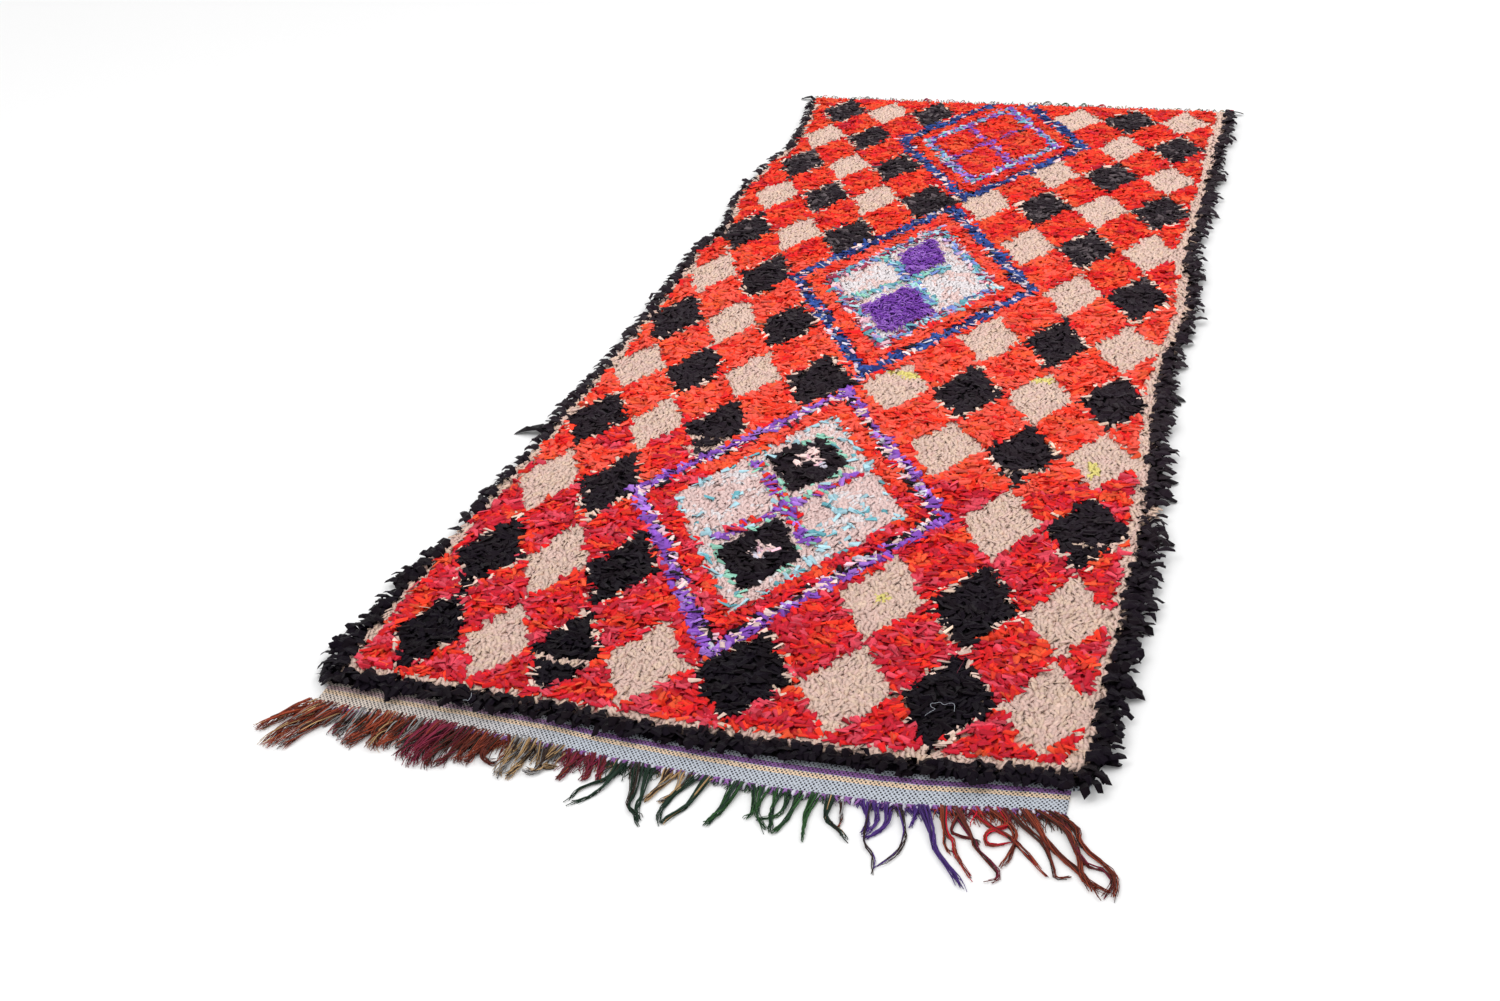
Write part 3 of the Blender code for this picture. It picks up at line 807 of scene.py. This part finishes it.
def sheet_mesh(name, top, foot, material, colours):
    """A closed mesh from a grid of points, with a flat underside at the height foot."""
    index = np.arange(top.shape[0] * top.shape[1]).reshape(top.shape[:2])
    quads = np.stack([index[:-1, :-1], index[:-1, 1:], index[1:, 1:], index[1:, :-1]], axis=-1).reshape(-1, 4)
    rim = np.concatenate([index[0], index[1:, -1], index[-1, -2::-1], index[-2:0:-1, 0]])
    below = index.size + np.arange(len(rim))
    walls = np.stack([rim, below, np.roll(below, -1), np.roll(rim, -1)], axis=-1)
    top = top.reshape(-1, 3)
    points = np.concatenate([top, top[rim] * (1, 1, 0) + (0, 0, foot)])
    faces = [quads, walls, below[::-1][None, :]]
    return make_mesh(name, points, faces, material, colours(points)), rim


def shaded_knot_colours(points):
    """The dyes of the knots over places, a little darker: painted shade under the tufts."""
    draw = np.random.default_rng(SEED + 5)
    luck = draw.random(len(points))
    kind = Chart(*on_chart(points * (1, 1, 0) + (0, 0, 0.014)), luck).kind
    colours = np.zeros((len(points), 3))
    for name, k in KINDS.items():
        where = kind == name
        # Painted shade: the knots' dyes darkened, as they lie in the shade under the tufts
        colours[where] = dyed(k.dyes, luck[where], draw) * 0.9
    return colours


def pile_rows(alongs, columns, inset):
    """Rows of places across the pile, from edge to edge."""
    share = np.linspace(0, 1, columns + 1)
    for along in alongs:
        left, right = (half_width - inset for half_width in knotted_width(along))
        x = -left + share * (left + right)
        yield along, x, pile_y(x, along)


def knot_bed():
    """The knots themselves: a low, lumpy layer that the tufts rise from."""
    draw = np.random.default_rng(SEED + 6)
    rows = []
    for along, x, y in pile_rows(np.arange(0.01, PILE_BACK - 0.004, 0.0104), 116, 0.004):
        inward = np.minimum(np.minimum(x - x[0], x[-1] - x), min(along - 0.01, PILE_BACK - along))
        height = 0.0106 * plumpness(along) * np.interp(inward, (0, 0.03), (0.45, 1.0))
        rows.append(np.stack([x, y, height + draw.uniform(-0.0018, 0.0018, len(x))], axis=1))
    return sheet_mesh("knot_bed", np.array(rows), FLAT_WEAVE - 0.0004, wool("knot_bed"), shaded_knot_colours)[0]


def ground_cloth():
    """The woven ground with its flat end: one sheet, ribbed where it shows."""
    columns, ribs = 110, 16
    flat_x = np.linspace(FLAT_LEFT, FLAT_RIGHT, columns + 1)
    rows, ups = [], []
    for n in range(ribs + 1):
        share = 1 - n / ribs
        height = FLAT_WEAVE + np.where((np.arange(columns + 1) + n) % 2, -0.0002, 0.0003)
        height = height + 0.0006 * wobble(flat_x, np.full(columns + 1, share * FLAT_DEPTH), 0.03)
        y = pile_y(flat_x, 0.0) * (1 - share) + heading_y(flat_x) * share
        rows.append(np.stack([flat_x, y, height], axis=1))
        ups.append(share * FLAT_DEPTH)
    for along, x, y in pile_rows(np.linspace(0.006, PILE_BACK, 64), columns, 0.002):
        rows.append(np.stack([x, y, np.full(columns + 1, FLAT_WEAVE - 0.0005)], axis=1))
        ups.append(-along)
    top = np.array(rows)
    made, rim = sheet_mesh("ground_cloth", top, 0.0004, flat_weave(), shaded_knot_colours)
    paint = np.column_stack([top[..., 0].ravel(), np.repeat(ups, columns + 1)])
    corners = np.zeros(len(made.data.loops), dtype=np.int32)
    made.data.loops.foreach_get("vertex_index", corners)
    layer = made.data.uv_layers.new(name="Weave")
    layer.data.foreach_set("uv", np.concatenate([paint, paint[rim]])[corners].astype(np.float32).ravel())
    return made, sum(p.area for p in made.data.polygons if p.normal.z > 0.5)


def flat_weave():
    """Weft stripes across the flat end, flecked by the warp, and the knots' dyes, with painted shade, under
    the pile.
    """
    made, tree, shader = surface("flat_weave", 0.92, 0.12)
    uv = add(tree, "UVMap", uv_map="Weave")
    across, up, _ = add(tree, "SeparateXYZ", {"Vector": uv}).node.outputs
    drift = add(tree, "TexNoise", {"Vector": uv, "Scale": 11, "Detail": 3})
    depth = calculate(tree, "MULTIPLY_ADD", drift, 0.004, up)
    depth = fit(tree, depth, 0.002 - UNDER_PILE, FLAT_DEPTH + 0.002)
    stripes = add(tree, "ValToRGB", {"Fac": depth})
    ramp = stripes.node.color_ramp
    ramp.interpolation = "CONSTANT"
    while len(ramp.elements) < len(WEAVE_STRIPES):
        ramp.elements.new(0.5)
    for element, (position, dye) in zip(ramp.elements, WEAVE_STRIPES.items()):
        element.position = position
        element.color = (*linear(dye), 1.0)
    waves = [
        calculate(tree, "SINE", calculate(tree, "MULTIPLY", place, 2 * math.pi / period))
        for place, period in zip((across, up), FLECK_PERIODS)
    ]
    crossed = calculate(tree, "MULTIPLY", *waves)
    gate = add(tree, "TexNoise", {"Vector": uv, "Scale": 190, "Detail": 2})
    flecks = calculate(tree, "MULTIPLY", fit(tree, crossed, 0.08, 0.24), fit(tree, gate, 0.34, 0.5, 0.25))
    leftwards = fit(tree, across, -0.15, -0.5, 0.0, 0.55)
    ground = mix(tree, "MIX", leftwards, stripes, (*linear("weave peach"), 1))
    woven = mix(tree, "MIX", flecks, ground, (*linear("weave dark"), 1))
    under = calculate(tree, "LESS_THAN", up, -UNDER_PILE)
    colour = mix(tree, "MIX", under, woven, add(tree, "Attribute", attribute_name="dye"))
    bump = add(tree, "Bump", {"Strength": 0.7, "Distance": 0.0006, "Height": crossed})
    tree.links.new(colour, shader.inputs["Base Color"])
    tree.links.new(bump, shader.inputs["Normal"])
    return made


def tubes(name, threads, seed, steps, sides):
    """Closed tubes, from each thread's path, radii along it and colour. None goes under the floor."""
    draws = np.random.default_rng(SEED + seed)
    paths, radii, colours = (np.array(values) for values in zip(*threads(np.linspace(0, 1, steps), draws)))
    count = len(radii)
    paths[..., 2] = np.maximum(paths[..., 2], radii + 0.0002)
    ahead = np.gradient(paths, axis=1)
    ahead /= np.linalg.norm(ahead, axis=2, keepdims=True).clip(1e-9)
    side = np.stack([-ahead[..., 1], ahead[..., 0], np.zeros((count, steps))], axis=-1)
    side /= np.linalg.norm(side, axis=2, keepdims=True).clip(1e-6)
    up = np.cross(ahead, side)
    angle = np.arange(sides) * 2 * math.pi / sides
    ring = side[:, :, None] * np.cos(angle)[:, None] + up[:, :, None] * np.sin(angle)[:, None]
    points = paths[:, :, None] + ring * radii[:, :, None, None]
    colours = np.repeat(colours, sides * steps, axis=0)
    return make_mesh(name, points, tube_faces(count, steps, sides), wool(name), colours)


def curve(points, at):
    """Places on a smooth curve through points. at runs from 0 to 1 along it."""
    p = np.asarray(points, dtype=float)
    p = np.vstack([2 * p[0] - p[1], p, 2 * p[-1] - p[-2]])
    at = at * (len(p) - 3)
    n = np.minimum(at.astype(int), len(p) - 4)
    t = (at - n)[:, None]
    a, b, c, d = (p[n + k] for k in range(4))
    line = 2 * b + (c - a) * t + (2 * a - 5 * b + 4 * c - d) * t ** 2
    return 0.5 * (line + (3 * b - a - 3 * c + d) * t ** 3)


def front_threads(t, draw):
    """Long warp threads, gathered into the locks of the table. The left ones are looser."""
    for dyes, x, width, threads, *route in LOCKS:
        route = [(x / 1000, (-1500 - ahead) / 1000) for x, ahead in zip(route[::2], route[1::2])]
        x, width = x / 1000, width / 1000
        loose = np.interp(x, (-0.3, -0.1), (1.0, 0.0))
        count = round(threads * FRINGE_DENSITY * (1 + 0.35 * loose))
        bundle = 0.00085 * math.sqrt(count) * (1 + 0.6 * loose)
        colours = dyed(FRINGE_DYES[dyes], draw.random(count), draw, 0.16)
        for n in range(count):
            root = x + ((n + 0.5) / count - 0.5) * width
            line = curve([(x, heading_y(x) + 0.001), *route], t * draw.uniform(0.8, 1.0))
            run = np.gradient(line, axis=0)
            run /= np.linalg.norm(run, axis=1, keepdims=True)
            phase, twist = draw.uniform(0, 2 * math.pi), draw.uniform(3, 8)
            swing = bundle * np.cos(phase + twist * t) * (1 - 0.3 * t)
            fray = draw.normal(0, 0.0022 + 0.0022 * loose) * t ** 2
            swing += fray + draw.uniform(0.0004, 0.0012) * np.cos(phase + 19 * t)
            gathered = smooth(t * (1.7 - 0.7 * loose))
            line += np.stack([-run[:, 1], run[:, 0]], axis=1) * (swing * gathered)[:, None]
            line[:, 0] += (root - x) * (1 - gathered)
            lift = bundle * (1 + np.sin(phase + twist * t)) * (1 - 0.5 * t)
            height = 0.0013 + lift + 0.002 * (1 - gathered)
            radius = THREAD_RADIUS * (1 - 0.22 * loose) * draw.uniform(0.75, 1.35)
            yield np.column_stack([line, height]), radius * (1.15 - 0.6 * t ** 2), colours[n]


def short_ends(t, draw):
    """Short, tangled thread ends between the long locks, dyed like the nearest lock."""
    roots = np.array([x for _, x, *_ in LOCKS]) / 1000
    x = draw.uniform(FLAT_LEFT + 0.002, FLAT_RIGHT - 0.002, 1500)
    thick = np.interp(x, (-0.3, -0.08, 0.02, 0.3, 0.42), (1.0, 0.8, 0.32, 0.28, 0.7))
    kept = draw.random(1500) < thick
    x, thick = x[kept], thick[kept]
    reach = draw.uniform(0.016, 0.056, len(x)) * thick
    lean = np.interp(x, (-0.58, -0.2, 0.3, 0.56), (-0.75, -0.25, 0.0, 0.7)) + draw.normal(0, 0.4, len(x))
    for x, reach, lean in zip(x, reach, lean):
        curl = draw.uniform(0.001, 0.004) * np.sin(t * draw.uniform(3, 7) + draw.uniform(0, 6))
        plan_x = x + math.sin(lean) * reach * t + curl
        plan_y = heading_y(x) + 0.001 - math.cos(lean) * reach * t
        height = 0.0015 + 0.006 * draw.random() * np.sin(math.pi * t) + 0.001 * (1 - t)
        radii = THREAD_RADIUS * draw.uniform(0.7, 1.25) * (1.1 - 0.5 * t)
        dyes = FRINGE_DYES[LOCKS[np.argmin(np.abs(roots - x))][0]]
        yield np.column_stack([plan_x, plan_y, height]), radii, dyed(dyes, draw.random(1), draw, 0.16)[0]


def stitches(t, draw):
    """The stitches that stop the weave at its outer edge, in purple crosses and pale single ones."""
    for n in range(int((FLAT_RIGHT - FLAT_LEFT) / STITCH_PITCH)):
        x = FLAT_LEFT + (n + 0.5) * STITCH_PITCH + draw.normal(0, 0.0008)
        for dye, thick, slant, start in STITCHES[n % 2]:
            plan_x = x + (slant + draw.normal(0, 0.0008)) * (t - 0.5) * 2
            plan_y = heading_y(x) + start - 0.0135 * draw.uniform(0.85, 1.15) * t
            height = FLAT_WEAVE + 0.0026 * np.sin(math.pi * t) * draw.uniform(0.8, 1.2)
            radii = thick * np.sin(math.pi * (0.14 + 0.72 * t)) * draw.uniform(0.85, 1.15)
            yield np.column_stack([plan_x, plan_y, height]), radii, linear(dye) * draw.uniform(0.75, 1.2)


def stray_threads(t, _):
    """The few thin threads that lie loose on the pile."""
    for dye, height, route in LOOSE_THREADS:
        height = height + 0.0006 * np.sin(17 * t)
        line = curve(np.array(route) / 1000, t)
        yield np.column_stack([line, height]), np.full(len(t), LOOSE_RADIUS), linear(dye)


def back_ends(t, draw):
    """Short ends and loops of warp along the back edge."""
    left, right = half_widths(LENGTH)
    root_y = HALF_LENGTH - 0.012
    for x in np.arange(0.016 - left, right - 0.014, 0.0075):
        reach, lean = draw.uniform(0.006, 0.022), draw.normal(0, 0.5)
        plan_x = x + reach * lean * t + 0.002 * np.sin(4 * t + 50 * x)
        plan_y = root_y + (reach + 0.007) * np.sin(t * math.pi / 2)
        height = 0.0014 + 0.005 * draw.random() * np.sin(math.pi * t)
        radii = THREAD_RADIUS * draw.uniform(0.9, 1.5) * (1.1 - 0.4 * t)
        yield np.column_stack([plan_x, plan_y, height]), radii, dyed(BACK_DYES, draw.random(1), draw, 0.15)[0]
    for x, half_width, reach, dye in BACK_LOOPS:
        for nest in (0.8, 1.0):
            plan_x = x - half_width * nest * np.cos(math.pi * t)
            plan_y = root_y + (reach + 0.009) * nest * np.sin(math.pi * t)
            height = 0.002 + 0.005 * nest * np.sin(math.pi * t)
            yield np.column_stack([plan_x, plan_y, height]), np.full(len(t), THREAD_RADIUS * 1.2), linear(dye)


def make_floor():
    bpy.ops.mesh.primitive_plane_add(size=60)
    floor = bpy.context.object
    floor.name = "floor"
    made, _, shader = surface("floor", 0.9, 0.0)
    shader.inputs["Base Color"].default_value = (0.9, 0.9, 0.9, 1)
    floor.data.materials.append(made)


def area_light(name, place, size, power):
    light = bpy.data.lights.new(name, "AREA")
    light.shape = "DISK"
    light.size = size
    light.energy = power
    lamp = put(name, light)
    lamp.location = place
    lamp.rotation_euler = (-Vector(place)).to_track_quat("-Z", "Y").to_euler()


def make_light():
    scene = bpy.context.scene
    scene.view_settings.view_transform = "Standard"
    world = bpy.data.worlds.new("studio")
    scene.world = world
    world.use_nodes = True
    sky = world.node_tree.nodes["Background"]
    sky.inputs["Color"].default_value = (1, 1, 1, 1)
    sky.inputs["Strength"].default_value = 1.0
    area_light("key", (-1.6, -2.6, 3.6), 2.4, 36)
    area_light("fill", (1.6, 2.4, 4.0), 3.0, 30)


def make_camera():
    """The fitted camera: yaw turns it from +Y towards +X, pitch lifts it, and roll tips it."""
    camera = bpy.data.cameras.new("camera")
    camera.sensor_fit = "HORIZONTAL"
    camera.sensor_width = SENSOR_WIDTH
    camera.lens = FOCAL_PIXELS / FRAME_WIDTH * SENSOR_WIDTH
    camera.clip_start = 0.05
    eye = put("camera", camera)
    eye.matrix_world = Matrix.Translation(READ_FROM)
    for angle, axis in ((-CAMERA_YAW, "Z"), (90 + CAMERA_PITCH, "X"), (CAMERA_ROLL, "Z")):
        eye.matrix_world = eye.matrix_world @ Matrix.Rotation(math.radians(angle), 4, axis)
    bpy.context.scene.camera = eye


def main():
    make_camera()
    make_light()
    make_floor()
    cloth, area = ground_cloth()
    groups = [
        ("rag_pile", "rug_body", [
            cloth, knot_bed(), *make_pile(), tubes("loose_threads", stray_threads, 0, 28, 4),
        ]),
        ("warp_yarn", "fringe_front", [
            tubes("fringe_threads", front_threads, 1, 11, 3),
            tubes("fringe_ends", short_ends, 2, 7, 3),
            tubes("heading_knots", stitches, 3, 6, 5),
        ]),
        ("warp_ends", "fringe_back", [tubes("back_threads", back_ends, 4, 9, 4)]),
    ]
    pieces = []
    for slot, node, members in groups:
        for piece in members:
            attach(piece, "root")
            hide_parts(node)
            pieces.append(piece)
    flat = (1.2, LENGTH + FLAT_DEPTH)
    min(area, flat[0] * flat[1])
    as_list(pieces[1:])


main()
